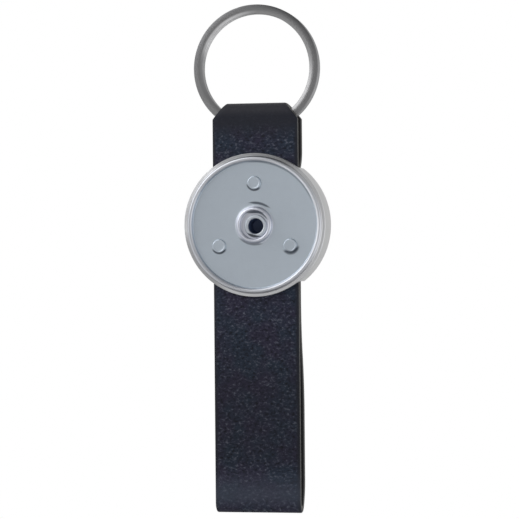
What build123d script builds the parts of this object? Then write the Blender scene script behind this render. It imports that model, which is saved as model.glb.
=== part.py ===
from build123d import *
import math
import os

os.makedirs("parts", exist_ok=True)

# A keyring that hangs by its split ring: a folded strap, closed into a loop, runs through a round
# medallion. The origin is the inner top of the ring, where a hook carries it. +Z is up, the
# medallion faces -Y and the strap's width lies along X. Lengths are in millimetres.

# Split ring: flat spring wire, wound twice round and stepped from one turn to the other
ring_outer_diameter = 25.3
wire_width = 1.85
wire_thickness = 0.94
wire_edge_radius = 0.3
turn_gap = 0.42
step_length = 9.0
gap_sample_spacing = 0.9

# Strap: one strip of faux leather, folded round the ring and looped below the medallion
strap_width = 17.2
strap_thickness = 1.4
ring_side_clearance = 0.15
ring_corner_clearance = 0.5
fold_top_width = 12.0
fold_shoulder_drop = 3.2
fold_inner_radius = 0.6
fold_to_housing = 10.0
housing_to_loop_end = 42.95
loop_depth = 5.6
loop_tip_radius = 0.8
loop_tip_turn = 150.0  # degrees
loop_opening_length = 23.0
ply_gap = 0.05
end_gap = 0.5
flex_clearance = 0.55

# Housing: a shallow round cup with a recessed face, a bead round it, and a collar at its centre
housing_diameter = 28.5
housing_depth = 7.3
wall_thickness = 0.9
bead_diameter = 26.2
bead_half_width = 0.3
bead_rounding_share = 0.8
recess_diameter = 25.0
recess_depth = 0.9
face_thickness = 0.8
shoulder_drop = 0.75
shoulder_radius = 0.35
shoulder_groove = 0.12
notch_clearance = 0.15
pad_diameter = 2.7
pad_height = 0.35
pad_edge = 0.12
pad_pitch_radius = 8.3
pad_count = 3
collar_outer_diameter = 8.0
collar_crest_diameter = 6.7
collar_cup_diameter = 5.6
collar_cup_depth = 1.15
collar_crest_drop = 0.05
collar_crest_half_width = 0.2
collar_rounding_share = 0.8

# Rear cover: a plate with flat top and bottom edges that clamps the strap with its boss
cover_thickness = 0.8
cover_clearance = 0.15
cover_height = 18.0
cover_boss_diameter = 8.4
cover_edge = 0.2

# Tubular rivet: its head lies in the cover and its hollow end is rolled over in the collar. It
# sits a little off the medallion's axis, as it does in the photo.
rivet_offset_across = 0.25
rivet_offset_down = 0.25
rivet_shank_diameter = 3.9
rivet_bore_diameter = 3.0
rivet_bore_depth = 4.2
rivet_head_diameter = 6.4
rivet_head_thickness = 0.45
rivet_roll_diameter = 4.6
rivet_roll_drop = 0.6
rivet_roll_rounding_share = 0.45
rivet_clearance = 0.1
rivet_head_edge = 0.12

# Places that follow from the sizes
ring_outer_radius = ring_outer_diameter / 2
ring_inner_radius = ring_outer_radius - wire_width
wire_path_radius = ring_outer_radius - wire_width / 2
ring_centre_z = -ring_inner_radius
turn_pitch = wire_thickness + turn_gap
ring_depth = turn_pitch + wire_thickness

fold_half_width = fold_top_width / 2
fold_reach = ring_inner_radius - ring_corner_clearance
fold_inner_drop = math.sqrt(fold_reach**2 - fold_half_width**2)
fold_top_z = ring_centre_z - fold_inner_drop + strap_thickness
pocket_depth = ring_depth + 2 * ring_side_clearance
front_y = -(pocket_depth + strap_thickness) / 2
rear_y = -front_y
strap_face_y = front_y - strap_thickness / 2
pinched_y = front_y + strap_thickness + ply_gap
loop_rear_y = strap_face_y + loop_depth - strap_thickness / 2

housing_radius = housing_diameter / 2
medallion_z = fold_top_z - fold_to_housing - housing_radius
loop_end_z = medallion_z - housing_radius - housing_to_loop_end
bead_y = strap_face_y - recess_depth - face_thickness
housing_rear_y = bead_y + housing_depth
cover_front_y = housing_rear_y - cover_thickness
cover_radius = housing_radius - wall_thickness - cover_clearance

fold_lower_z = ring_centre_z - ring_outer_radius - flex_clearance
middle_top_z = medallion_z + housing_radius + flex_clearance
middle_bottom_z = medallion_z - housing_radius - flex_clearance
loop_upper_z = middle_bottom_z - (fold_lower_z - middle_top_z)
upper_flex_z = (fold_lower_z + middle_top_z) / 2
lower_flex_z = (loop_upper_z + middle_bottom_z) / 2


def save(shape, name):
    shape.label = name
    export_step(shape, os.path.join("parts", name + ".step"))


# Split ring. Angles run round the ring from its lowest point.


def ring_place(angle, depth, radius=wire_path_radius):
    return Vector(radius * math.sin(angle), depth, ring_centre_z - radius * math.cos(angle))


def ring_heading(angle):
    return Vector(math.cos(angle), 0, math.sin(angle))


def turn_arcs(first, last, depth, count=4):
    """One turn of the wire as equal arcs at one depth."""
    step = (last - first) / count
    arcs = []
    for index in range(count):
        start = first + index * step
        arcs.append(
            ThreePointArc(
                ring_place(start, depth),
                ring_place(start + step / 2, depth),
                ring_place(start + step, depth),
            )
        )
    return arcs


def biarc(start, start_heading, end, end_heading):
    """Two arcs that leave one point and reach another in the given directions."""
    chord = end - start
    headings = start_heading + end_heading
    spread = 2 * (1 - start_heading.dot(end_heading))
    along = chord.dot(headings)
    reach = (math.sqrt(along**2 + spread * chord.dot(chord)) - along) / spread
    first_corner = start + start_heading * reach
    last_corner = end - end_heading * reach
    middle = (first_corner + last_corner) / 2
    return [
        TangentArc(start, middle, tangent=start_heading),
        TangentArc(middle, end, tangent=last_corner - first_corner),
    ]


def wire_route(shift=0.0):
    """Front turn, the step behind it, and the rear turn, moved along the ring's axis by shift."""
    half_step = step_length / wire_path_radius / 2
    front_depth = shift - turn_pitch / 2
    rear_depth = shift + turn_pitch / 2
    edges = turn_arcs(half_step, 2 * math.pi - half_step, front_depth)
    edges += biarc(
        ring_place(-half_step, front_depth),
        ring_heading(-half_step),
        ring_place(half_step, rear_depth),
        ring_heading(half_step),
    )
    edges += turn_arcs(half_step, 2 * math.pi - half_step, rear_depth)
    return Wire(edges)


def least_turn_gap(route):
    """Least distance between points on the wire's faces that are a quarter turn or more apart."""
    length = route.length
    count = round(length / gap_sample_spacing)
    rows = []
    for index in range(count + 1):
        centre = route.position_at(index / count)
        outward = Vector(centre.X, 0, centre.Z - ring_centre_z).normalized()
        row = []
        for across in (-wire_width / 2, 0, wire_width / 2):
            for side in (-wire_thickness / 2, wire_thickness / 2):
                row.append(centre + outward * across + Vector(0, side, 0))
        rows.append(row)
    apart = round(ring_outer_radius / gap_sample_spacing)
    least = length
    for index, row in enumerate(rows):
        for other in rows[index + apart:]:
            for point in row:
                least = min(least, min((point - place).length for place in other))
    return least


def make_split_ring():
    route = wire_route()
    heading = route % 0
    outward = (route @ 0) - Vector(0, (route @ 0).Y, ring_centre_z)
    section_plane = Plane(origin=route @ 0, x_dir=outward, z_dir=heading)
    section = section_plane * RectangleRounded(wire_width, wire_thickness, wire_edge_radius)
    print("least gap between the ring's turns", round(least_turn_gap(route), 3))
    return sweep(section, path=route, binormal=wire_route(wire_width))


# Strap. Its routes lie in the YZ plane, along the middle of the strip.


def side_place(depth, height):
    return Vector(0, depth, height)


def gather(start, end):
    """Two arcs that carry the strip from one depth to another, upright at both ends."""
    middle = (start + end) / 2
    upright = Vector(0, 0, math.copysign(1, end.Z - start.Z))
    first = TangentArc(start, middle, tangent=upright)
    return [first, TangentArc(middle, end, tangent=first % 1)]


def fold_route():
    """From the strip's upper end up the back, over the ring and down the front."""
    bend = fold_inner_radius + strap_thickness / 2
    top_z = fold_top_z - strap_thickness / 2
    end_z = medallion_z + end_gap / 2
    gathered = side_place(pinched_y, medallion_z + cover_height / 2)
    spread = side_place(rear_y, middle_top_z)
    rear_corner = side_place(rear_y, top_z - bend)
    rear_top = side_place(rear_y - bend, top_z)
    front_top = side_place(front_y + bend, top_z)
    front_corner = side_place(front_y, top_z - bend)
    edges = [Line(side_place(pinched_y, end_z), gathered)]
    edges += gather(gathered, spread)
    edges += [
        Line(spread, rear_corner),
        TangentArc(rear_corner, rear_top, tangent=(0, 0, 1)),
        Line(rear_top, front_top),
        TangentArc(front_top, front_corner, tangent=(0, -1, 0)),
        Line(front_corner, side_place(front_y, middle_top_z)),
    ]
    return Wire(edges)


def loop_route():
    """From the medallion's front down, round the loop's tip and up the back to the lower end."""
    tip_bend = loop_tip_radius + strap_thickness / 2
    turn = math.radians(loop_tip_turn)
    width = loop_rear_y - front_y
    back_bend = (width - tip_bend * (1 - math.cos(turn))) / (1 + math.cos(turn))
    tip_z = loop_end_z + strap_thickness / 2 + tip_bend
    tip_y = front_y + tip_bend
    back_z = tip_z + (back_bend - tip_bend) * math.sin(turn)
    front_corner = side_place(front_y, tip_z)
    junction = side_place(tip_y - tip_bend * math.cos(turn), tip_z - tip_bend * math.sin(turn))
    back_corner = side_place(loop_rear_y, back_z)
    spread = side_place(loop_rear_y, middle_bottom_z - loop_opening_length)
    gathered = side_place(pinched_y, middle_bottom_z)
    first = TangentArc(front_corner, junction, tangent=(0, 0, -1))
    edges = [
        Line(side_place(front_y, middle_bottom_z), front_corner),
        first,
        TangentArc(junction, back_corner, tangent=first % 1),
        Line(back_corner, spread),
    ]
    edges += gather(spread, gathered)
    edges.append(Line(gathered, side_place(pinched_y, medallion_z - end_gap / 2)))
    return Wire(edges)


def strip(route):
    plane = Plane(origin=route @ 0, x_dir=(1, 0, 0), z_dir=route % 0)
    return sweep(plane * Rectangle(strap_width, strap_thickness), path=route)


def slab(low_z, high_z):
    """Everything between two heights, wider and deeper than the strap."""
    height = high_z - low_z
    return Pos(0, 0, (low_z + high_z) / 2) * Box(2 * strap_width, 2 * housing_depth, height)


def fold_outline():
    """The strip's front outline at the fold: narrow at the top, full width at the shoulders."""
    half_width = strap_width / 2
    shoulder_z = fold_top_z - fold_shoulder_drop
    corners = [
        (-half_width, medallion_z),
        (-half_width, shoulder_z),
        (-fold_half_width, fold_top_z),
        (fold_half_width, fold_top_z),
        (half_width, shoulder_z),
        (half_width, medallion_z),
    ]
    return extrude(Plane.XZ * Polygon(*corners, align=None), amount=housing_depth, both=True)


def ring_relief():
    """The space that the ring sweeps as it turns, cut out of the fold's corners."""
    around = Cylinder(ring_outer_radius + ring_corner_clearance, pocket_depth)
    inside = Cylinder(fold_reach, pocket_depth)
    return Pos(0, 0, ring_centre_z) * Rot(X=90) * (around - inside)


def at_rivet(shape):
    """Moves a shape from the medallion's axis to the rivet's."""
    return Pos(rivet_offset_across, 0, -rivet_offset_down) * shape


def rivet_hole():
    """The hole for the rivet's shank, through everything in the medallion."""
    radius = rivet_shank_diameter / 2 + rivet_clearance
    return at_rivet(Pos(0, 0, medallion_z) * Rot(X=90) * Cylinder(radius, 2 * housing_depth))


def make_strap():
    hole = rivet_hole()
    upper = (strip(fold_route()) & fold_outline()) - hole - ring_relief()
    lower = strip(loop_route()) - hole
    front_height = middle_top_z - middle_bottom_z
    front_run = Pos(0, front_y, medallion_z) * Box(strap_width, strap_thickness, front_height)
    return {
        "strap_ring_fold": upper & slab(fold_lower_z, fold_top_z),
        "strap_upper_flex": upper & slab(middle_top_z, fold_lower_z),
        "strap_upper_end": upper & slab(medallion_z, middle_top_z),
        "strap_front_run": front_run - hole,
        "strap_lower_end": lower & slab(middle_bottom_z, medallion_z),
        "strap_lower_flex": lower & slab(loop_upper_z, middle_bottom_z),
        "strap_loop": lower & slab(loop_end_z, loop_upper_z),
    }


# Housing, cover and rivet. Profiles are drawn as radius and depth behind the bead's crest,
# and turned about the medallion's axis.


def turned(points):
    """A solid of revolution from its half section, given as radius and depth from the bead."""
    face = Plane.XY * make_face(Polyline(*points, close=True))
    solid = revolve(face, axis=Axis.Y)
    return Pos(0, bead_y, medallion_z) * solid


def edges_at(shape, radius, depth):
    """Circular edges of a turned solid with this radius, at this depth behind the bead."""
    found = []
    for edge in shape.edges().filter_by(GeomType.CIRCLE):
        centre_depth = edge.arc_center.Y - bead_y
        if abs(edge.radius - radius) < ply_gap and abs(centre_depth - depth) < ply_gap:
            found.append(edge)
    return found


def make_housing():
    recess_radius = recess_diameter / 2
    bead_inner = bead_diameter / 2 - bead_half_width
    bead_outer = bead_diameter / 2 + bead_half_width
    inner_radius = housing_radius - wall_thickness
    face_rear = recess_depth + face_thickness
    collar_outer = collar_outer_diameter / 2
    collar_crest = collar_crest_diameter / 2
    collar_cup = collar_cup_diameter / 2
    groove_depth = shoulder_drop + shoulder_groove
    points = [
        (0, collar_cup_depth),
        (collar_cup, collar_cup_depth),
        (collar_crest - collar_crest_half_width, collar_crest_drop),
        (collar_crest + collar_crest_half_width, collar_crest_drop),
        (collar_outer, recess_depth),
        (recess_radius, recess_depth),
        (bead_inner, 0),
        (bead_outer, 0),
        (bead_outer + shoulder_groove, groove_depth),
        (bead_outer + 2 * shoulder_groove, shoulder_drop),
        (housing_radius, shoulder_drop),
        (housing_radius, housing_depth),
        (inner_radius, housing_depth),
        (inner_radius, face_rear),
        (0, face_rear),
    ]
    body = turned(points)
    bead_edges = edges_at(body, bead_inner, 0) + edges_at(body, bead_outer, 0)
    body = fillet(bead_edges, bead_half_width * bead_rounding_share)
    body = fillet(edges_at(body, housing_radius, shoulder_drop), shoulder_radius)
    crests = edges_at(body, collar_crest - collar_crest_half_width, collar_crest_drop)
    crests += edges_at(body, collar_crest + collar_crest_half_width, collar_crest_drop)
    body = fillet(crests, collar_crest_half_width * collar_rounding_share)
    notch_width = strap_width + 2 * notch_clearance
    notch_depth = housing_depth - face_rear
    notch_y = bead_y + face_rear + notch_depth / 2
    notch = Pos(0, notch_y, medallion_z) * Box(notch_width, notch_depth, 2 * housing_diameter)
    body -= notch + rivet_hole()
    pad = Cylinder(pad_diameter / 2, pad_height + face_thickness / 2)
    pad = fillet(pad.edges().group_by(Axis.Z)[-1], pad_edge)
    pad_y = bead_y + recess_depth + (face_thickness / 2 - pad_height) / 2
    for index in range(pad_count):
        angle = math.radians(90 + index * 360 / pad_count)
        pad_x = pad_pitch_radius * math.cos(angle)
        pad_z = medallion_z + pad_pitch_radius * math.sin(angle)
        body += Pos(pad_x, pad_y, pad_z) * Rot(X=90) * pad
    return body


def make_cover():
    plate_depth = cover_front_y - bead_y
    boss_front = pinched_y + strap_thickness / 2 - bead_y
    head_radius = rivet_head_diameter / 2 + rivet_clearance
    head_depth = housing_depth - rivet_head_thickness
    points = [
        (0, boss_front),
        (cover_boss_diameter / 2, boss_front),
        (cover_boss_diameter / 2, plate_depth),
        (cover_radius, plate_depth),
        (cover_radius, housing_depth),
        (0, housing_depth),
    ]
    recess = [(0, head_depth), (head_radius, head_depth), (head_radius, housing_depth), (0, housing_depth)]
    cover = turned(points)
    limits = Pos(0, 0, medallion_z) * Box(housing_diameter, 2 * housing_depth, cover_height)
    cover &= limits
    rear_face = cover.faces().sort_by(Axis.Y)[-1]
    cover = chamfer(rear_face.outer_wire().edges(), cover_edge)
    return cover - at_rivet(turned(recess)) - rivet_hole()


def make_rivet():
    shank_radius = rivet_shank_diameter / 2
    bore_radius = rivet_bore_diameter / 2
    roll_radius = rivet_roll_diameter / 2
    head_radius = rivet_head_diameter / 2
    head_depth = housing_depth - rivet_head_thickness
    points = [
        (0, rivet_roll_drop + rivet_bore_depth),
        (bore_radius, rivet_roll_drop + rivet_bore_depth),
        (bore_radius, rivet_roll_drop),
        (roll_radius, rivet_roll_drop),
        (roll_radius, collar_cup_depth),
        (shank_radius, collar_cup_depth),
        (shank_radius, head_depth),
        (head_radius, head_depth),
        (head_radius, housing_depth),
        (0, housing_depth),
    ]
    rivet = turned(points)
    roll_edge = (collar_cup_depth - rivet_roll_drop) * rivet_roll_rounding_share
    rims = edges_at(rivet, bore_radius, rivet_roll_drop) + edges_at(rivet, roll_radius, rivet_roll_drop)
    rivet = fillet(rims, roll_edge)
    return at_rivet(fillet(edges_at(rivet, head_radius, housing_depth), rivet_head_edge))


nodes = {"split_ring": make_split_ring()}
nodes.update(make_strap())
nodes["housing"] = make_housing()
nodes["rear_cover"] = make_cover()
nodes["rivet"] = make_rivet()

for node_name, node_shape in nodes.items():
    save(node_shape, node_name)

print("ring centre height", round(ring_centre_z, 3))
print("upper flex height", round(upper_flex_z, 3), "lower flex height", round(lower_flex_z, 3))
print("medallion height", round(medallion_z, 3), "bead depth", round(bead_y, 3))
print("rear face depth", round(housing_rear_y, 3), "loop end height", round(loop_end_z, 3))
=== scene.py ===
import math

import bmesh
import bpy
from mathutils import Matrix, Vector
from mathutils.kdtree import KDTree


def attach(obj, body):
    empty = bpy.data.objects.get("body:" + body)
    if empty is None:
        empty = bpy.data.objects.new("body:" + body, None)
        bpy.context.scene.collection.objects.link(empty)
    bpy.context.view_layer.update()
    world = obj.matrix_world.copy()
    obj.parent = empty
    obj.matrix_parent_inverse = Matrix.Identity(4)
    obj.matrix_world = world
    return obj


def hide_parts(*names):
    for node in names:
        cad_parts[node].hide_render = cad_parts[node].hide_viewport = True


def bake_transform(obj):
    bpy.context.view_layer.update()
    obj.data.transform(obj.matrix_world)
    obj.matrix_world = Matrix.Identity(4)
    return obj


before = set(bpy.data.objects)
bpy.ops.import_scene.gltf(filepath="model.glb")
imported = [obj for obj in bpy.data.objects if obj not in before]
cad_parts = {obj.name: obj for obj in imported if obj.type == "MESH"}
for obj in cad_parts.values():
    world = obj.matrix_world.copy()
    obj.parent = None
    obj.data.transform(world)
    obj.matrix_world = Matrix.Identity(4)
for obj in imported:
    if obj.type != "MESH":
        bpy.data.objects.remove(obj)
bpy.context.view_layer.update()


# Split ring. Flat spring steel wire, wound twice round and nickel plated. The turns lie against
# each other, and the wire's ends and the step between the turns are at the bottom, in the fold of
# the strap. It hangs from a hook and carries all the rest.

mm = 0.001
ring_centre_z = -10.8 * mm
wire_middle_radius = 11.725 * mm
wire_width = 1.85 * mm
wire_thickness = 1.12 * mm
wire_corner = 0.16 * mm
wire_crown = 0.14 * mm
outer_crown_share = 0.4
turn_pitch = 1.165 * mm
step_length = 9.0 * mm
rows_in_a_turn = 320

# The share of the wire's full section at some distances from its ends
wire_end_rounding = ((0.0, 0.78), (0.12 * mm, 0.94), (0.3 * mm, 1.0))


def bar_section(width, thickness, corner, corner_steps, face_steps, crown=0.0, outer_share=1.0):
    """Points round a flat bar's section, as (across, depth) from its middle.

    Its corners are rounded, and its faces drop by the crown from their middle to their inner
    corners, and by a share of it to their outer ones.
    """
    points = []
    for turn, (side, face) in enumerate(((1, 1), (-1, 1), (-1, -1), (1, -1))):
        drop = crown * (outer_share if side > 0 else 1.0)
        middle_across = side * (width / 2 - corner)
        middle_depth = face * (thickness / 2 - drop - corner)
        for step in range(corner_steps + 1):
            angle = math.radians(90) * (turn + step / corner_steps)
            across = middle_across + corner * math.cos(angle)
            depth = middle_depth + corner * math.sin(angle)
            points.append((across, depth))
        if side == face:
            for step in range(1, face_steps):
                share = 1 - 2 * step / face_steps
                drop = crown * (outer_share if side * share > 0 else 1.0)
                points.append((middle_across * share, face * (thickness / 2 - drop * share**2)))
    return points


def skin(rows):
    """Faces that join rows of points, each row running once round a section, with closed ends."""
    around = len(rows[0])
    faces = [tuple(reversed(range(around)))]
    for row in range(len(rows) - 1):
        for place in range(around):
            after = (place + 1) % around
            low = row * around
            high = low + around
            faces.append((low + place, low + after, high + after, high + place))
    last = (len(rows) - 1) * around
    faces.append(tuple(range(last, last + around)))
    return faces


def settle(piece, sharp_angle):
    """Merges points that coincide, turns the faces outwards, and smooths all but the sharp edges."""
    work = bmesh.new()
    work.from_mesh(piece.data)
    bmesh.ops.remove_doubles(work, verts=work.verts, dist=0.001 * mm)
    bmesh.ops.recalc_face_normals(work, faces=work.faces)
    work.to_mesh(piece.data)
    work.free()
    piece.data.shade_smooth()
    piece.data.set_sharp_from_angle(angle=math.radians(sharp_angle))


def make_piece(name, rows, faces, sharp_angle=40):
    """An object with a closed mesh from rows of points."""
    mesh = bpy.data.meshes.new(name)
    mesh.from_pydata([point for row in rows for point in row], [], faces)
    piece = bpy.data.objects.new(name, mesh)
    bpy.context.scene.collection.objects.link(piece)
    settle(piece, sharp_angle)
    return piece


def store_places(piece, rows, places):
    """Keeps where each point lay on the straight stock, in millimetres, so that grain follows bends.

    A point that a cut has added takes the place of the nearest point of the rows.
    """
    points = [point for row in rows for point in row]
    origins = [place for row in places for place in row]
    tree = KDTree(len(points))
    for index, point in enumerate(points):
        tree.insert(point, index)
    tree.balance()
    layer = piece.data.attributes.new("stock_place", "FLOAT_VECTOR", "POINT")
    for vertex in piece.data.vertices:
        origin = origins[tree.find(vertex.co)[1]]
        layer.data[vertex.index].vector = [value / mm for value in origin]


def wind_wire():
    """The wire's sections along both turns, and their places on the straight wire."""
    half_step = step_length / wire_middle_radius / 2
    first = half_step
    last = 4 * math.pi - half_step
    ends = [(inset / wire_middle_radius, share) for inset, share in wire_end_rounding]
    stations = [(first + inset, share) for inset, share in ends]
    for row in range(1, 2 * rows_in_a_turn):
        angle = first + (last - first) * row / (2 * rows_in_a_turn)
        if min(angle - first, last - angle) > ends[-1][0]:
            stations.append((angle, 1.0))
    stations += [(last - inset, share) for inset, share in reversed(ends)]
    section = bar_section(
        wire_width, wire_thickness, wire_corner, corner_steps=4, face_steps=12,
        crown=wire_crown, outer_share=outer_crown_share,
    )
    rows, places = [], []
    for angle, share in stations:
        passed = min(1.0, max(0.0, (angle - 2 * math.pi + half_step) / (2 * half_step)))
        stepped = passed * passed * (3 - 2 * passed)
        turn_depth = turn_pitch * (stepped - 0.5)
        row = []
        for across, depth in section:
            radius = wire_middle_radius + across * share
            height = ring_centre_z - radius * math.cos(angle)
            row.append((radius * math.sin(angle), turn_depth + depth * share, height))
        rows.append(row)
        places.append([(across, wire_middle_radius * angle, depth) for across, depth in section])
    return rows, places


def give(tree, socket, value):
    """Links another node's output to a socket, or sets the socket's own value."""
    if isinstance(value, bpy.types.NodeSocket):
        tree.links.new(value, socket)
    else:
        socket.default_value = value


def add_node(tree, kind, **values):
    """A node with its sockets linked or set by name, where an underscore stands for a space."""
    node = tree.nodes.new(kind)
    for name, value in values.items():
        give(tree, node.inputs[name.replace("_", " ")], value)
    return node


def mix_colours(tree, share, low, high):
    """The low colour where the share is 0, and the high one where it is 1."""
    node = tree.nodes.new("ShaderNodeMix")
    node.data_type = "RGBA"
    for place, value in ((0, share), (6, low), (7, high)):
        give(tree, node.inputs[place], value)
    return node.outputs[2]


def reckon(tree, operation, first, second=0.0):
    """One step of arithmetic with one or two values."""
    node = tree.nodes.new("ShaderNodeMath")
    node.operation = operation
    give(tree, node.inputs[0], first)
    give(tree, node.inputs[1], second)
    return node.outputs[0]


def times(tree, first, second):
    return reckon(tree, "MULTIPLY", first, second)


def plus(tree, first, second):
    return reckon(tree, "ADD", first, second)


def larger(tree, first, second):
    return reckon(tree, "MAXIMUM", first, second)


def spread(tree, value, low, high, to_low=0.0, to_high=1.0):
    """Maps a value from one range to another, and holds it inside the second."""
    node = add_node(
        tree, "ShaderNodeMapRange", Value=value,
        From_Min=low, From_Max=high, To_Min=to_low, To_Max=to_high,
    )
    return node.outputs["Result"]


def split_axes(tree, place):
    """The outputs X, Y and Z of a place."""
    return add_node(tree, "ShaderNodeSeparateXYZ", Vector=place).outputs


def lean(tree, place, direction):
    """How far a place lies along a direction."""
    node = tree.nodes.new("ShaderNodeVectorMath")
    node.operation = "DOT_PRODUCT"
    give(tree, node.inputs[0], place)
    give(tree, node.inputs[1], direction)
    return node.outputs["Value"]


def noise(tree, place, scale, detail, roughness=0.55):
    """Cloudy values from 0 to 1. A larger scale gives smaller clouds."""
    node = add_node(
        tree, "ShaderNodeTexNoise", Vector=place, Scale=scale, Detail=detail, Roughness=roughness
    )
    return node.outputs["Fac"]


def stretch(tree, place, scale):
    """A place with each of its axes scaled."""
    return add_node(tree, "ShaderNodeMapping", Vector=place, Scale=scale).outputs["Vector"]


def make_plating_effect():
    """Plated metal: faint clouds, a fine satin tooth and hairlines from handling."""
    tree = bpy.data.node_groups.new("plating_effect", "ShaderNodeTree")
    for name, kind in (
        ("Place", "NodeSocketVector"), ("Hairline Place", "NodeSocketVector"),
        ("Clean Color", "NodeSocketColor"), ("Dull Color", "NodeSocketColor"),
        ("Roughness", "NodeSocketFloat"), ("Uneven", "NodeSocketFloat"),
        ("Tooth Scale", "NodeSocketFloat"),
    ):
        tree.interface.new_socket(name, in_out="INPUT", socket_type=kind)
    for name, kind in (
        ("Color", "NodeSocketColor"), ("Roughness", "NodeSocketFloat"), ("Height", "NodeSocketFloat"),
    ):
        tree.interface.new_socket(name, in_out="OUTPUT", socket_type=kind)
    given = tree.nodes.new("NodeGroupInput").outputs
    result = tree.nodes.new("NodeGroupOutput").inputs
    clouds = spread(tree, noise(tree, given["Place"], 0.33, 3.0, 0.6), 0.36, 0.68)
    tooth = noise(tree, given["Place"], given["Tooth Scale"], 2.0)
    lines = noise(tree, given["Hairline Place"], 1.0, 4.0, 0.7)
    hairlines = spread(tree, lines, 0.55, 0.72)
    dulled = times(tree, plus(tree, clouds, hairlines), given["Uneven"])
    swing = plus(tree, spread(tree, tooth, 0.3, 0.7, -0.5, 0.5), dulled)
    give(tree, result["Color"], mix_colours(tree, dulled, given["Clean Color"], given["Dull Color"]))
    give(tree, result["Roughness"], plus(tree, given["Roughness"], times(tree, swing, 0.07)))
    give(tree, result["Height"], plus(tree, tooth, times(tree, lines, 0.6)))
    return tree


plating_effect = make_plating_effect()


def start_metal(name):
    """A material with a metal shader, and its node tree."""
    material = bpy.data.materials.new(name)
    material.use_nodes = True
    tree = material.node_tree
    shader = tree.nodes["Principled BSDF"]
    shader.inputs["Metallic"].default_value = 1.0
    return material, tree, shader


def plate(tree, shader, place, hairline_stretch, clean, dull, roughness, uneven, tooth_scale, bump):
    """Lays the plating effect on a metal shader. Hairlines run along the least stretched axis."""
    effect = tree.nodes.new("ShaderNodeGroup")
    effect.node_tree = plating_effect
    for name, value in {
        "Place": place, "Hairline Place": stretch(tree, place, hairline_stretch), "Clean Color": clean,
        "Dull Color": dull, "Roughness": roughness, "Uneven": uneven, "Tooth Scale": tooth_scale,
    }.items():
        give(tree, effect.inputs[name], value)
    relief = add_node(
        tree, "ShaderNodeBump", Height=effect.outputs["Height"], Strength=bump, Distance=0.02 * mm
    )
    give(tree, shader.inputs["Base Color"], effect.outputs["Color"])
    give(tree, shader.inputs["Roughness"], effect.outputs["Roughness"])
    give(tree, shader.inputs["Normal"], relief.outputs["Normal"])


def stock_place(tree):
    """Where a point lay on the straight wire or flat strip, in millimetres."""
    source = tree.nodes.new("ShaderNodeAttribute")
    source.attribute_name = "stock_place"
    return source.outputs["Vector"]


# The wire's outer half is darkened as painted shade, least so at the bottom, and its inner edge
# is lightened at the upper left as a painted highlight
ring_steel, tree, shader = start_metal("ring_nickel")
place = stock_place(tree)
across = split_axes(tree, place)["X"]
ring_place = tree.nodes.new("ShaderNodeTexCoord").outputs["Object"]
upwards = lean(tree, ring_place, (-0.35 / mm, 0.0, 0.94 / mm))
up_left = lean(tree, ring_place, (-0.643 / mm, 0.0, 0.766 / mm))
outer_half = spread(tree, across, -0.3, 0.8)
inner_edge = spread(tree, across, -0.45, -0.2, 1.0, 0.0)
# Painted shade: the outer half of the wire is darker, most towards the top
outer_shade = times(tree, outer_half, spread(tree, upwards, -14.0, -4.0, 0.2, 1.0))
# Painted highlight: the wire's inner edge is lighter at the upper left
painted_highlight = times(tree, inner_edge, spread(tree, up_left, 0.1, 2.4))
nickel = (0.315, 0.315, 0.32, 1.0)
dull_nickel = (0.26, 0.26, 0.265, 1.0)
highlight_nickel = (0.70, 0.70, 0.71, 1.0)
shaded_nickel = (0.15, 0.15, 0.155, 1.0)
dull_shaded_nickel = (0.12, 0.12, 0.125, 1.0)
bright = mix_colours(tree, painted_highlight, nickel, highlight_nickel)
plate(
    tree, shader, place, hairline_stretch=(9.0, 0.25, 9.0),
    clean=mix_colours(tree, outer_shade, bright, shaded_nickel),
    dull=mix_colours(tree, outer_shade, dull_nickel, dull_shaded_nickel),
    roughness=0.31, uneven=0.35, tooth_scale=6.0, bump=0.15,
)

rows, places = wind_wire()
ring = make_piece("ring_wire", rows, skin(rows))
store_places(ring, rows, places)
ring.data.materials.append(ring_steel)
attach(ring, "ring")
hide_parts("split_ring")


# Strap. One strip of faux leather, 1.4 mm thick: a near-black navy film with a pressed grain on a
# paler fibre backing, cut out with a die. It is folded round the ring, where its corners are cut
# off, and looped at the bottom. Its two ends meet its middle inside the medallion.

strip_width = 17.2 * mm
strip_thickness = 1.4 * mm
strip_corner = 0.3 * mm
row_spacing = 0.25 * mm
medallion_z = -42.022 * mm

# The rivet is a little to the right of and below the medallion's middle
rivet_offset = 0.25 * mm
rivet_place = Vector((rivet_offset, 0.0, medallion_z - rivet_offset))
rivet_hole_radius = 2.05 * mm

# The fold, and the ring inside it
fold_top_z = medallion_z + 24.25 * mm
fold_top_half_width = 6.0 * mm
fold_shoulder_drop = 3.2 * mm
fold_bend_radius = 1.3 * mm
ring_inner_radius = wire_middle_radius - wire_width / 2
ring_half_depth = (turn_pitch + wire_thickness) / 2
crest_clearance = 0.12 * mm

# The soft stretches are at one distance above and below the medallion's middle
flex_distance = 14.8 * mm
flex_length = 3.222 * mm
flex_bottom_z = medallion_z + flex_distance
flex_top_z = flex_bottom_z + flex_length
lower_flex_top_z = medallion_z - flex_distance

# The front ply is as far before the middle plane as the rear ply is behind it. Inside the medallion
# the rear one is pinched against the front one, and its two ends leave a gap.
ply_depth = 2.0 * mm
pinched_depth = -0.55 * mm
cover_half_height = 9.0 * mm
end_gap = 0.5 * mm
loop_end_z = medallion_z - 57.2 * mm
loop_rear_depth = 2.2 * mm
loop_tip_radius = 1.5 * mm
loop_tip_turn = 150.0
loop_opening_length = 23.0 * mm


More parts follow.
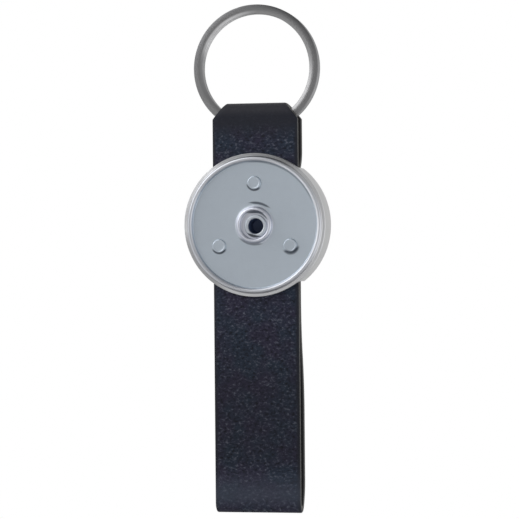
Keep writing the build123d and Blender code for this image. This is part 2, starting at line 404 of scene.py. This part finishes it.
def lay_strip(depth, height, heading, steps):
    """The strip's middle line as (depth, height, heading, distance), from runs and bends.

    A step is (length, 0) for a run and (radius, degrees) for a bend. Heading 0 is straight up,
    and a bend with positive degrees turns towards the strip's film side.
    """
    stations = [(depth, height, heading, 0.0)]
    for size, degrees in steps:
        depth, height, heading, distance = stations[-1]
        length = size * abs(math.radians(degrees)) if degrees else size

        # The small allowance keeps a length of whole rows from getting one more by rounding
        count = max(6, math.ceil(length / row_spacing - 0.001))
        start = math.radians(heading)
        for row in range(1, count + 1):
            share = row / count
            turned = start + math.radians(degrees) * share
            if degrees:
                radius = math.copysign(size, degrees)
                moved_depth = radius * (math.cos(start) - math.cos(turned))
                moved_height = radius * (math.sin(turned) - math.sin(start))
            else:
                moved_depth = size * share * math.sin(start)
                moved_height = size * share * math.cos(start)
            stations.append((
                depth + moved_depth,
                height + moved_height,
                math.degrees(turned),
                distance + length * share,
            ))
    return stations


def shift_bends(sideways, length):
    """Two bends that move the strip towards its film side by a distance, over a length."""
    turn = 2 * math.atan2(sideways, length)
    radius = length / (2 * math.sin(abs(turn)))
    return [(radius, math.degrees(turn)), (radius, -math.degrees(turn))]


def strip_reach(depth, height):
    """Half the strip's width at a point: cut to a narrow top, and hollowed where the ring passes."""
    shoulder = (fold_top_z - height) / fold_shoulder_drop
    reach = fold_top_half_width + (strip_width / 2 - fold_top_half_width) * min(1.0, max(0.0, shoulder))
    corner_depth = abs(depth) - (ring_half_depth - wire_corner)
    if height > flex_top_z and corner_depth < wire_corner:
        rounding = wire_corner - math.sqrt(wire_corner**2 - max(0.0, corner_depth) ** 2)
        hollow = ring_inner_radius - crest_clearance + rounding
        reach = min(reach, math.sqrt(hollow**2 - (height - ring_centre_z) ** 2))
    return reach


def sweep_strip(stations, narrowed, first_place):
    """The strip's sections along its middle line, and their places on the flat strip.

    Places run along the strip from near the middle of the fold, and the first row's is given.
    """
    section = bar_section(strip_width, strip_thickness, strip_corner, corner_steps=4, face_steps=14)
    rows, places = [], []
    for middle_depth, middle_height, heading, distance in stations:
        turned = math.radians(heading)
        row = []
        for across, out in section:
            depth = middle_depth + out * math.cos(turned)
            height = middle_height - out * math.sin(turned)
            share = strip_reach(depth, height) / (strip_width / 2) if narrowed else 1.0
            row.append((across * share, depth, height))
        rows.append(row)
        places.append([(across, first_place + distance, out) for across, out in section])
    return rows, places


def carve(piece, tool, operation="DIFFERENCE"):
    """Cuts a tool's shape out of a piece, or welds it on, and throws the tool away."""
    change = piece.modifiers.new("carve", "BOOLEAN")
    change.operation = operation
    change.solver = "EXACT"
    change.object = tool
    mesh = bpy.data.meshes.new_from_object(piece.evaluated_get(bpy.context.evaluated_depsgraph_get()))
    piece.modifiers.clear()
    piece.data = mesh
    bpy.data.objects.remove(tool)


def circle(radius, sides):
    """Points round a circle, as (right, up) from its middle."""
    angles = [2 * math.pi * side / sides for side in range(sides)]
    return [(radius * math.cos(angle), radius * math.sin(angle)) for angle in angles]


def make_rivet_punch():
    """A round bar along the rivet's axis, used to cut its hole."""
    half_length = 10 * mm
    rows = []
    for depth in (-half_length, half_length):
        row = []
        for right, up in circle(rivet_hole_radius, 64):
            row.append((rivet_place.x + right, rivet_place.y + depth, rivet_place.z + up))
        rows.append(row)
    return make_piece("rivet_punch", rows, skin(rows))


def make_leather():
    """Navy film with a pebbled grain painted with pale glints and dark shade, a slow change of tint, on
    pale fibre.
    """
    material = bpy.data.materials.new("navy_faux_leather")
    material.use_nodes = True
    tree = material.node_tree
    shader = tree.nodes["Principled BSDF"]
    place = stock_place(tree)
    axes = split_axes(tree, place)
    depth = axes["Z"]
    along = reckon(tree, "ABSOLUTE", axes["Y"])

    # The grain: pebbles of uneven outline with creases between them, coarse flecks and a fine tooth
    warp = add_node(tree, "ShaderNodeTexNoise", Vector=place, Scale=1.1, Detail=2.0)
    warped = add_node(tree, "ShaderNodeVectorMath")
    warped.operation = "MULTIPLY_ADD"
    give(tree, warped.inputs[0], warp.outputs["Color"])
    give(tree, warped.inputs[1], (0.8, 0.8, 0.8))
    give(tree, warped.inputs[2], place)
    warped_place = warped.outputs[0]
    pebbles = add_node(tree, "ShaderNodeTexVoronoi", Vector=warped_place, Scale=1.9)
    creases = spread(tree, pebbles.outputs["Distance"], 0.18, 0.62)
    fine = noise(tree, place, 6.0, 2.0)
    flecks = noise(tree, stretch(tree, warped_place, (0.75, 1.15, 1.0)), 2.1, 3.0, 0.62)

    # The film's colour: its own blue and plum clouds, painted shade in the grain's hollows and painted
    # glints as pale specks
    blue = (0.0118, 0.0200, 0.0375, 1.0)
    plum = (0.0172, 0.0152, 0.0350, 1.0)
    hollow = (0.0030, 0.0040, 0.0100, 1.0)
    painted_glint = (0.085, 0.092, 0.120, 1.0)
    tint = spread(tree, noise(tree, place, 0.16, 2.0), 0.40, 0.60)
    film = mix_colours(tree, tint, blue, plum)
    # Painted shade in the grain's low places
    film = mix_colours(tree, spread(tree, flecks, 0.34, 0.48, 1.0, 0.0), film, hollow)
    # Painted glints on the grain's high places
    film = mix_colours(tree, spread(tree, flecks, 0.55, 0.72), film, painted_glint)

    # It is pulled smooth over the fold and pressed smooth along the edges, and it is lightened towards
    # the fold's top as a painted sheen
    painted_sheen = (0.0410, 0.0395, 0.0450, 1.0)
    smooth_navy = (0.0092, 0.0106, 0.0175, 1.0)
    faint_painted_glint = (0.04, 0.042, 0.055, 1.0)
    from_fold = spread(tree, along, 5.8, 9.5, 1.0, 0.0)
    from_edge = spread(tree, reckon(tree, "ABSOLUTE", axes["X"]), 7.75, 8.3)
    smooth = larger(tree, from_fold, from_edge)
    # Painted sheen: paler film towards the top of the fold
    plain = mix_colours(tree, spread(tree, along, 1.7, 4.5), painted_sheen, smooth_navy)
    # Faint painted glints on the smooth film
    plain = mix_colours(tree, spread(tree, fine, 0.3, 0.7, 0.0, 0.14), plain, faint_painted_glint)
    film = mix_colours(tree, times(tree, smooth, 0.95), film, plain)

    # The front of the loop is darker, and paler just above its end
    black = (0.0, 0.0, 0.0, 1.0)
    pale_navy = (0.045, 0.053, 0.076, 1.0)
    dark = times(
        tree, spread(tree, axes["Y"], 44.0, 60.0), spread(tree, axes["Y"], 73.0, 77.0, 1.0, 0.0)
    )
    film = mix_colours(tree, times(tree, dark, 0.28), film, black)
    tip = times(
        tree, spread(tree, axes["Y"], 75.5, 80.0), spread(tree, axes["Y"], 81.0, 83.0, 0.58, 0.10)
    )
    film = mix_colours(tree, tip, film, pale_navy)

    # Through its thickness: a dark underside, paler fibre at the cut edge, and the film on top
    tooth = spread(tree, fine, 0.35, 0.65)
    dark_fibre = (0.060, 0.057, 0.054, 1.0)
    pale_fibre = (0.085, 0.082, 0.078, 1.0)
    dark_backing = (0.014, 0.014, 0.016, 1.0)
    pale_backing = (0.024, 0.024, 0.026, 1.0)
    fibre = mix_colours(tree, tooth, dark_fibre, pale_fibre)
    underside = mix_colours(tree, tooth, dark_backing, pale_backing)
    below_film = mix_colours(tree, spread(tree, depth, -0.62, -0.5), underside, fibre)
    colour = mix_colours(tree, spread(tree, depth, 0.26, 0.38), below_film, film)

    crease_gloss = spread(tree, creases, 0.0, 1.0, 0.0, 0.06)
    roughness = plus(tree, spread(tree, flecks, 0.3, 0.7, 0.60, 0.42), crease_gloss)
    height = plus(tree, times(tree, creases, -0.7), times(tree, fine, 0.3))
    height = plus(tree, height, times(tree, flecks, 0.8))
    height = times(tree, height, spread(tree, smooth, 0.0, 1.0, 1.0, 0.25))
    relief = add_node(tree, "ShaderNodeBump", Height=height, Strength=0.6, Distance=0.06 * mm)
    give(tree, shader.inputs["Base Color"], colour)
    give(tree, shader.inputs["Roughness"], roughness)
    give(tree, shader.inputs["Normal"], relief.outputs["Normal"])
    shader.inputs["Specular IOR Level"].default_value = 0.2
    return material


def make_strap_length(name, stations, narrowed, first_place):
    """One length of the strap, with its half of the rivet's hole punched."""
    rows, places = sweep_strip(stations, narrowed, first_place)
    length = make_piece(name, rows, skin(rows))
    carve(length, make_rivet_punch())
    store_places(length, rows, places)
    length.data.materials.append(leather)
    return length


leather = make_leather()
fold_bend_z = fold_top_z - strip_thickness / 2 - fold_bend_radius
upper_strap = make_strap_length(
    "upper_strap",
    lay_strip(
        pinched_depth, medallion_z + end_gap / 2, 0.0,
        [
            (cover_half_height - end_gap / 2, 0),
            *shift_bends(ply_depth - pinched_depth, flex_bottom_z - medallion_z - cover_half_height),
            (fold_bend_z - flex_bottom_z, 0),
            (fold_bend_radius, -90.0),
            (2 * (ply_depth - fold_bend_radius), 0),
            (fold_bend_radius, -90.0),
            (fold_bend_z - medallion_z, 0),
        ],
    ),
    narrowed=True, first_place=-24.4 * mm,
)
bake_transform(upper_strap)
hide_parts("strap_ring_fold", "strap_upper_flex", "strap_upper_end", "strap_front_run")

tip_turn = math.radians(loop_tip_turn)
loop_width = loop_rear_depth + ply_depth
back_radius = (loop_width - loop_tip_radius * (1 - math.cos(tip_turn))) / (1 + math.cos(tip_turn))
tip_z = loop_end_z + strip_thickness / 2 + loop_tip_radius
back_z = tip_z + (back_radius - loop_tip_radius) * math.sin(tip_turn)
lower_strap = make_strap_length(
    "lower_strap",
    lay_strip(
        -ply_depth, medallion_z, -180.0,
        [
            (medallion_z - tip_z, 0),
            (loop_tip_radius, -loop_tip_turn),
            (back_radius, loop_tip_turn - 180.0),
            (lower_flex_top_z - loop_opening_length - back_z, 0),
            *shift_bends(pinched_depth - loop_rear_depth, loop_opening_length),
            (medallion_z - end_gap / 2 - lower_flex_top_z, 0),
        ],
    ),
    narrowed=False, first_place=27.0 * mm,
)
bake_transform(lower_strap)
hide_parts("strap_lower_end", "strap_lower_flex", "strap_loop")


# Housing of the medallion. A shallow round cup, die cast in zinc and plated in satin chrome: a
# beaded rim round a sunk face, three low pads for an insert, and a raised collar round the rivet.
# Its wall is open at the top and the bottom, where the strap passes through.

bead_y = -4.4 * mm
housing_radius = 14.25 * mm
housing_depth = 7.3 * mm
wall_thickness = 0.9 * mm
face_rear = 1.7 * mm
recess_radius = 12.52 * mm
recess_depth = 0.9 * mm
bead_inner_radius = 12.70 * mm
bead_outer_radius = 13.42 * mm
ledge_inner_radius = 13.62 * mm
ledge_inner_depth = 0.70 * mm
ledge_outer_depth = 0.76 * mm
collar_depth = 0.05 * mm
collar_inner_radius = 2.84 * mm
collar_outer_radius = 3.5 * mm
collar_foot_radius = 3.67 * mm
collar_foot_depth = 0.86 * mm
collar_skirt_radius = 4.05 * mm
collar_cup_radius = 2.78 * mm
collar_cup_depth = 0.88 * mm
notch_width = 17.5 * mm
pad_radius = 1.35 * mm
pad_height = 0.35 * mm
pad_pitch_radius = 8.3 * mm


def soften(corners, steps=7):
    """A closed outline of (radius, depth, rounding) corners, with each corner's arc drawn in."""
    points = []
    for index, (radius, depth, rounding) in enumerate(corners):
        here = Vector((radius, depth))
        if not rounding:
            points.append(here)
            continue
        back = (Vector(corners[index - 1][:2]) - here).normalized()
        ahead = (Vector(corners[(index + 1) % len(corners)][:2]) - here).normalized()
        half = back.angle(ahead) / 2
        centre = here + (back + ahead).normalized() * rounding / math.sin(half)
        first = here + back * rounding / math.tan(half) - centre
        last = here + ahead * rounding / math.tan(half) - centre
        swing = first.angle_signed(last)
        for step in range(steps + 1):
            turned = Matrix.Rotation(-swing * step / steps, 2) @ first
            points.append(centre + turned)
    return points


def turn_piece(name, corners, place, steps=240, sharp_angle=40):
    """A piece turned about an axis along Y, from its outline as radius and depth behind a place."""
    outline = soften(corners)
    rows = []
    for right, up in circle(1.0, steps):
        rows.append([(radius * right, depth, radius * up) for radius, depth in outline])
    around = len(outline)
    faces = []
    for step in range(steps):
        low = step * around
        high = (step + 1) % steps * around
        for index in range(around):
            after = (index + 1) % around
            if outline[index][0] or outline[after][0]:
                faces.append((low + index, low + after, high + after, high + index))
    piece = make_piece(name, rows, faces, sharp_angle)
    piece.location = place
    return piece


medallion_place = Vector((0.0, bead_y, medallion_z))
housing = turn_piece(
    "housing_cup",
    [
        (0.0, collar_cup_depth, 0.0),
        (collar_cup_radius, collar_cup_depth, 0.12 * mm),
        (collar_inner_radius, collar_depth, 0.28 * mm),
        (collar_outer_radius, collar_depth, 0.45 * mm),
        (collar_foot_radius, collar_foot_depth, 0.1 * mm),
        (collar_skirt_radius, recess_depth, 0.3 * mm),
        (recess_radius, recess_depth, 0.12 * mm),
        (bead_inner_radius, 0.0, 0.48 * mm),
        (bead_outer_radius, 0.0, 0.42 * mm),
        (ledge_inner_radius, ledge_inner_depth, 0.2 * mm),
        (housing_radius, ledge_outer_depth, 0.14 * mm),
        (housing_radius, housing_depth, 0.15 * mm),
        (housing_radius - wall_thickness, housing_depth, 0.12 * mm),
        (housing_radius - wall_thickness, face_rear, 0.0),
        (0.0, face_rear, 0.0),
    ],
    medallion_place,
)


def make_block(name, low, high):
    """A plain block between two corners, used to cut a notch."""
    corners = ((low[0], low[2]), (high[0], low[2]), (high[0], high[2]), (low[0], high[2]))
    rows = [[(right, depth, up) for right, up in corners] for depth in (low[1], high[1])]
    return make_piece(name, rows, skin(rows))


def outwards(degrees):
    """The direction across the medallion's face at an angle, from the right and counted upwards."""
    angle = math.radians(degrees)
    return Vector((math.cos(angle), 0.0, math.sin(angle)))


notch_corner = Vector((notch_width / 2, housing_depth, 2 * housing_radius))
carve(
    housing,
    make_block(
        "strap_notch",
        medallion_place + Vector((-notch_corner.x, face_rear, -notch_corner.z)),
        medallion_place + notch_corner,
    ),
)
carve(housing, make_rivet_punch())
pad_top = recess_depth - pad_height
pad_dish = pad_top + 0.03 * mm
pad_root = recess_depth + 0.2 * mm
for index in range(3):
    pad = turn_piece(
        "pad",
        [
            (0.0, pad_dish, 0.0),
            (pad_radius - 0.42 * mm, pad_dish, 0.3 * mm),
            (pad_radius - 0.3 * mm, pad_top, 0.1 * mm),
            (pad_radius - 0.06 * mm, pad_top, 0.12 * mm),
            (pad_radius + 0.05 * mm, recess_depth + 0.02 * mm, 0.0),
            (pad_radius + 0.05 * mm, pad_root, 0.0),
            (0.0, pad_root, 0.0),
        ],
        medallion_place + pad_pitch_radius * outwards(90 + 120 * index),
        steps=72,
    )
    carve(housing, pad, "UNION")
settle(housing, sharp_angle=32)


def object_place(tree):
    """Places on a rigid piece, in millimetres from its own origin."""
    source = tree.nodes.new("ShaderNodeTexCoord")
    return stretch(tree, source.outputs["Object"], (1 / mm, 1 / mm, 1 / mm))


def offset_from(tree, place, middle):
    """A place's offset from a middle, seen along the medallion's axis."""
    node = add_node(
        tree, "ShaderNodeMapping", Vector=place,
        Location=(-middle[0], 0.0, -middle[1]), Scale=(1.0, 0.0, 1.0),
    )
    return node.outputs["Vector"]


def measure(tree, offset):
    """The length of an offset."""
    node = tree.nodes.new("ShaderNodeVectorMath")
    node.operation = "LENGTH"
    give(tree, node.inputs[0], offset)
    return node.outputs["Value"]


def arc_mask(tree, place, middle, radius, half_width, towards, share):
    """An arc-shaped mask round a middle: strongest on its line, and only within reach of a direction.
    """
    offset = offset_from(tree, place, middle)
    off_line = reckon(tree, "ABSOLUTE", reckon(tree, "SUBTRACT", measure(tree, offset), radius))
    line = spread(tree, off_line, 0.35 * half_width, half_width, 1.0, 0.0)
    out = lean(tree, offset, outwards(towards))
    side = spread(tree, reckon(tree, "DIVIDE", out, radius), share, (1 + share) / 2)
    return times(tree, line, side)


satin_chrome, tree, shader = start_metal("satin_chrome")
place = object_place(tree)
axes = split_axes(tree, place)
reach = measure(tree, offset_from(tree, place, (0.0, 0.0)))

# Where the parts of the cup lie, in millimetres from its axis, and for the wall behind its front
collar_mask = spread(tree, reach, 3.7, 4.0, 1.0, 0.0)
rim_mask = spread(tree, reach, 12.5, 12.7)
ledge_mask = spread(tree, reach, 13.40, 13.65)
wall_mask = spread(tree, axes["Y"], 0.9, 1.3)

# The ledge is darkened at the top and less so at the left as painted shade, and the bead is lightened
# at the right as a painted highlight
# Painted shade on the ledge, strongest at the top
ledge_shade = spread(tree, axes["Z"], 10.2, 12.4)
for towards, low, high, share in ((215.0, 11.6, 13.2, 0.7), (155.0, 11.8, 13.4, 0.5)):
    out = lean(tree, place, outwards(towards))
    ledge_shade = larger(tree, ledge_shade, spread(tree, out, low, high, 0.0, share))
# Painted highlight: the bead is lighter towards the right
to_right = spread(tree, lean(tree, place, outwards(28.0)), 7.4, 11.3)
painted_highlight = times(tree, to_right, spread(tree, reach, 12.95, 13.25, 1.0, 0.0))

# Painted shade lies in arcs round the collar, in its cup, inside the rim and at the foot of each pad
painted_shade_arcs = 0.0
for middle, radius, half_width, towards, share, strength in (
    ((0.1, 0.2), 4.15, 0.36, 76.0, 0.88, 0.85),
    ((0.0, 0.05), 3.92, 0.30, 256.0, 0.80, 0.65),
    ((0.2, -0.22), 2.70, 0.55, 88.0, 0.90, 0.92),
    ((0.2, -0.22), 2.72, 0.30, 58.0, 0.84, 0.85),
    ((0.0, 0.0), 12.50, 0.30, 58.0, 0.76, 0.42),
    ((7.19, -4.15), 1.42, 0.50, 285.0, 0.25, 0.85),
    ((-7.19, -4.15), 1.42, 0.28, 270.0, 0.35, 0.85),
    ((0.0, 8.3), 1.42, 0.28, 255.0, 0.35, 0.85),
):
    arc = arc_mask(tree, place, middle, radius, half_width, towards, share)
    painted_shade_arcs = larger(tree, painted_shade_arcs, times(tree, arc, strength))


def colour_cup(face, collar, bead, highlight_bead, ledge, shaded_ledge, wall, shade_tint):
    """The cup's colour, from one tint for each of its parts."""
    bead = mix_colours(tree, painted_highlight, bead, highlight_bead)
    ledge = mix_colours(tree, ledge_shade, ledge, shaded_ledge)
    rim = mix_colours(tree, ledge_mask, bead, ledge)
    front = mix_colours(tree, rim_mask, face, rim)
    front = mix_colours(tree, collar_mask, front, collar)
    # The arcs of painted shade darken everything under them
    return mix_colours(tree, painted_shade_arcs, mix_colours(tree, wall_mask, front, wall), shade_tint)


# The same plating is paler on the collar and the ledge than on the face and the bead: painted light
clean_cup = colour_cup(
    face=(0.538, 0.600, 0.667, 1.0),
    collar=(0.628, 0.649, 0.720, 1.0),
    bead=(0.560, 0.576, 0.615, 1.0),
    highlight_bead=(0.77, 0.785, 0.825, 1.0),
    ledge=(0.66, 0.665, 0.68, 1.0),
    shaded_ledge=(0.30, 0.305, 0.315, 1.0),
    wall=(0.555, 0.558, 0.56, 1.0),
    shade_tint=(0.075, 0.090, 0.115, 1.0),
)
dull_cup = colour_cup(
    face=(0.476, 0.529, 0.591, 1.0),
    collar=(0.555, 0.572, 0.637, 1.0),
    bead=(0.49, 0.505, 0.54, 1.0),
    highlight_bead=(0.71, 0.725, 0.765, 1.0),
    ledge=(0.59, 0.595, 0.61, 1.0),
    shaded_ledge=(0.26, 0.265, 0.275, 1.0),
    wall=(0.50, 0.503, 0.505, 1.0),
    shade_tint=(0.060, 0.072, 0.092, 1.0),
)
plate(
    tree, shader, place, hairline_stretch=(1.2, 5.0, 5.0), clean=clean_cup, dull=dull_cup,
    roughness=0.38, uneven=0.25, tooth_scale=7.0, bump=0.2,
)
housing.data.materials.append(satin_chrome)
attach(housing, "medallion")
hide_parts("housing")


# Rear cover. A plate pressed into the back of the cup, with flat edges at the top and the bottom
# that leave room for the strap. Its boss clamps the strap's ends against the cup's face. It is the
# CAD piece itself, in chrome that is brushed from side to side.

cover_material, tree, shader = start_metal("brushed_chrome")
plate(
    tree, shader, object_place(tree), hairline_stretch=(0.25, 6.0, 8.0),
    clean=(0.56, 0.58, 0.60, 1.0), dull=(0.44, 0.46, 0.48, 1.0),
    roughness=0.36, uneven=0.4, tooth_scale=5.0, bump=0.35,
)
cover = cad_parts["rear_cover"]
cover.data.materials.clear()
cover.data.materials.append(cover_material)


# Rivet. A hollow steel rivet, nickel plated, from the back through the cover, the strap and the
# cup. Its head lies in the cover, and its open end is rolled outwards inside the collar.

rivet_bore_radius = 1.5 * mm
rivet_bore_end = 4.8 * mm
rivet_roll_radius = 2.3 * mm
rivet_roll_front = 0.6 * mm
rivet_roll_rear = 1.15 * mm
rivet_shank_radius = 1.95 * mm
rivet_head_radius = 3.2 * mm
rivet_head_front = housing_depth - 0.45 * mm
rivet = turn_piece(
    "hollow_rivet",
    [
        (0.0, rivet_bore_end, 0.0),
        (rivet_bore_radius, rivet_bore_end, 0.3 * mm),
        (rivet_bore_radius, rivet_roll_front, 0.24 * mm),
        (rivet_roll_radius, rivet_roll_front, 0.3 * mm),
        (rivet_roll_radius, rivet_roll_rear, 0.1 * mm),
        (rivet_shank_radius, rivet_roll_rear, 0.0),
        (rivet_shank_radius, rivet_head_front, 0.0),
        (rivet_head_radius, rivet_head_front, 0.0),
        (rivet_head_radius, housing_depth, 0.14 * mm),
        (0.0, housing_depth, 0.0),
    ],
    Vector((rivet_place.x, bead_y, rivet_place.z)),
    steps=120,
)

# The bore and a split in the rolled end are painted dark as shade, and less metallic
rivet_steel, tree, shader = start_metal("rivet_nickel")
place = object_place(tree)
reach = measure(tree, offset_from(tree, place, (0.0, 0.0)))
depth = split_axes(tree, place)["Y"]
bore = times(tree, spread(tree, depth, 0.80, 0.98), spread(tree, reach, 1.52, 1.62, 1.0, 0.0))
split_shade = arc_mask(tree, place, (0.0, 0.0), 1.92, 0.5, 256.0, 0.86)
before_head = spread(tree, depth, 5.0, 5.2, 1.0, 0.0)
dark = times(tree, larger(tree, bore, split_shade), before_head)
# Painted shade colours for the bore and the split
bore_shade_blue = (0.070, 0.100, 0.190, 1.0)
split_shade_grey = (0.050, 0.053, 0.062, 1.0)
nickel = (0.56, 0.60, 0.65, 1.0)
dull_nickel = (0.42, 0.45, 0.49, 1.0)
shade = mix_colours(tree, split_shade, bore_shade_blue, split_shade_grey)
plate(
    tree, shader, place, hairline_stretch=(3.0, 0.6, 3.0),
    clean=mix_colours(tree, dark, nickel, shade),
    dull=mix_colours(tree, dark, dull_nickel, shade),
    roughness=0.46, uneven=0.45, tooth_scale=6.0, bump=0.3,
)
give(tree, shader.inputs["Metallic"], spread(tree, dark, 0.0, 1.0, 1.0, 0.2))
rivet.data.materials.append(rivet_steel)
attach(rivet, "medallion")
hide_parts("rivet")


# Studio. A pale round floor well below the hanging keyring, and white all round it, as in a light
# tent. The floor keeps the keyring's soft shadow.

floor_z = -0.25
floor_radius = 0.36
floor_thickness = 0.004
rows = [
    [(right, ahead, level) for right, ahead in circle(floor_radius, 96)]
    for level in (floor_z - floor_thickness, floor_z)
]
floor = make_piece("floor", rows, skin(rows))
floor_material = bpy.data.materials.new("white_floor")
floor_material.use_nodes = True
tree = floor_material.node_tree
shader = tree.nodes["Principled BSDF"]
place = tree.nodes.new("ShaderNodeTexCoord").outputs["Object"]
reach = measure(tree, stretch(tree, place, (1.0, 1.0, 0.0)))

# Reflections of the floor are darker below the keyring, and the camera sees all of it a bit brighter
mirrored = spread(tree, reach, 0.08, 0.30, 0.40, 0.80)
rays = tree.nodes.new("ShaderNodeLightPath").outputs
level = add_node(tree, "ShaderNodeMix", Factor=rays["Is Glossy Ray"], A=0.82, B=mirrored).outputs[0]
give(tree, shader.inputs["Base Color"], level)
give(tree, shader.inputs["Emission Strength"], times(tree, rays["Is Camera Ray"], 0.3))
shader.inputs["Emission Color"].default_value = (1.0, 1.0, 1.0, 1.0)
shader.inputs["Roughness"].default_value = 0.9
floor.data.materials.append(floor_material)


def make_world():
    """The tent. It is white to the camera, and its light is dimmer in front than behind.

    In front it is brighter at the sides and below than above.
    """
    world = bpy.data.worlds.new("light_tent")
    bpy.context.scene.world = world
    world.use_nodes = True
    tree = world.node_tree
    background = tree.nodes["Background"]
    direction = tree.nodes.new("ShaderNodeTexCoord").outputs["Generated"]
    axes = split_axes(tree, direction)
    behind = spread(tree, axes["Y"], -0.2, 0.3)
    right = spread(tree, axes["X"], -0.05, 0.65, 0.0, 0.42)
    left = spread(tree, axes["X"], -0.8, -0.35, 0.35, 0.0)
    below = spread(tree, axes["Z"], -0.5, -0.05, 0.36, 0.0)
    level = spread(tree, axes["Z"], -0.05, 0.35, 0.42, 0.23)
    above = spread(tree, axes["Z"], 0.4, 0.85, 0.0, 0.2)
    upright = reckon(tree, "SUBTRACT", level, above)
    front = plus(tree, upright, plus(tree, below, plus(tree, left, right)))
    around = add_node(tree, "ShaderNodeMix", Factor=behind, A=front, B=0.75)
    rays = tree.nodes.new("ShaderNodeLightPath").outputs
    seen = add_node(tree, "ShaderNodeMix", Factor=rays["Is Camera Ray"], A=around.outputs[0], B=1.0)
    background.inputs["Color"].default_value = (1.0, 1.0, 1.0, 1.0)
    give(tree, background.inputs["Strength"], seen.outputs[0])


make_world()


def hang_lamp(name, azimuth, elevation, distance, side, power):
    """A square soft lamp, hung round the keyring's middle and turned towards it."""
    aim = Vector((0.0, 0.0, -0.05))
    a, e = math.radians(azimuth), math.radians(elevation)
    towards = Vector((math.sin(a) * math.cos(e), -math.cos(a) * math.cos(e), math.sin(e)))
    data = bpy.data.lights.new(name, "AREA")
    data.shape = "SQUARE"
    data.size = side
    data.energy = power
    lamp = bpy.data.objects.new(name, data)
    lamp.location = aim + towards * distance
    lamp.rotation_mode = "QUATERNION"
    lamp.rotation_quaternion = towards.to_track_quat("Z", "Y")
    bpy.context.scene.collection.objects.link(lamp)


hang_lamp("upper_left_lamp", azimuth=-48.0, elevation=36.0, distance=0.6, side=0.60, power=2.3)
hang_lamp("right_lamp", azimuth=80.0, elevation=-8.0, distance=0.5, side=0.4, power=0.3)


# Camera. Level, a little to the right of the medallion's front, with a long lens. It is rolled by
# half a degree, because the keyring itself is upright.

camera_place = Vector((101.68, -488.3, -49.32)) * mm
camera_target = Vector((-0.392, 2.9, -48.88)) * mm
camera_roll = math.radians(-0.495)
camera_data = bpy.data.cameras.new("camera")
camera_data.sensor_width = 36.0
camera_data.lens = 173.67
camera_data.clip_start = 0.05
camera_data.clip_end = 10.0
camera = bpy.data.objects.new("camera", camera_data)
camera.location = camera_place
camera.rotation_mode = "QUATERNION"
roll = Matrix.Rotation(camera_roll, 4, "Z").to_quaternion()
camera.rotation_quaternion = (camera_target - camera_place).to_track_quat("-Z", "Y") @ roll
bpy.context.scene.collection.objects.link(camera)
bpy.context.scene.camera = camera
bpy.context.scene.view_settings.view_transform = "Standard"
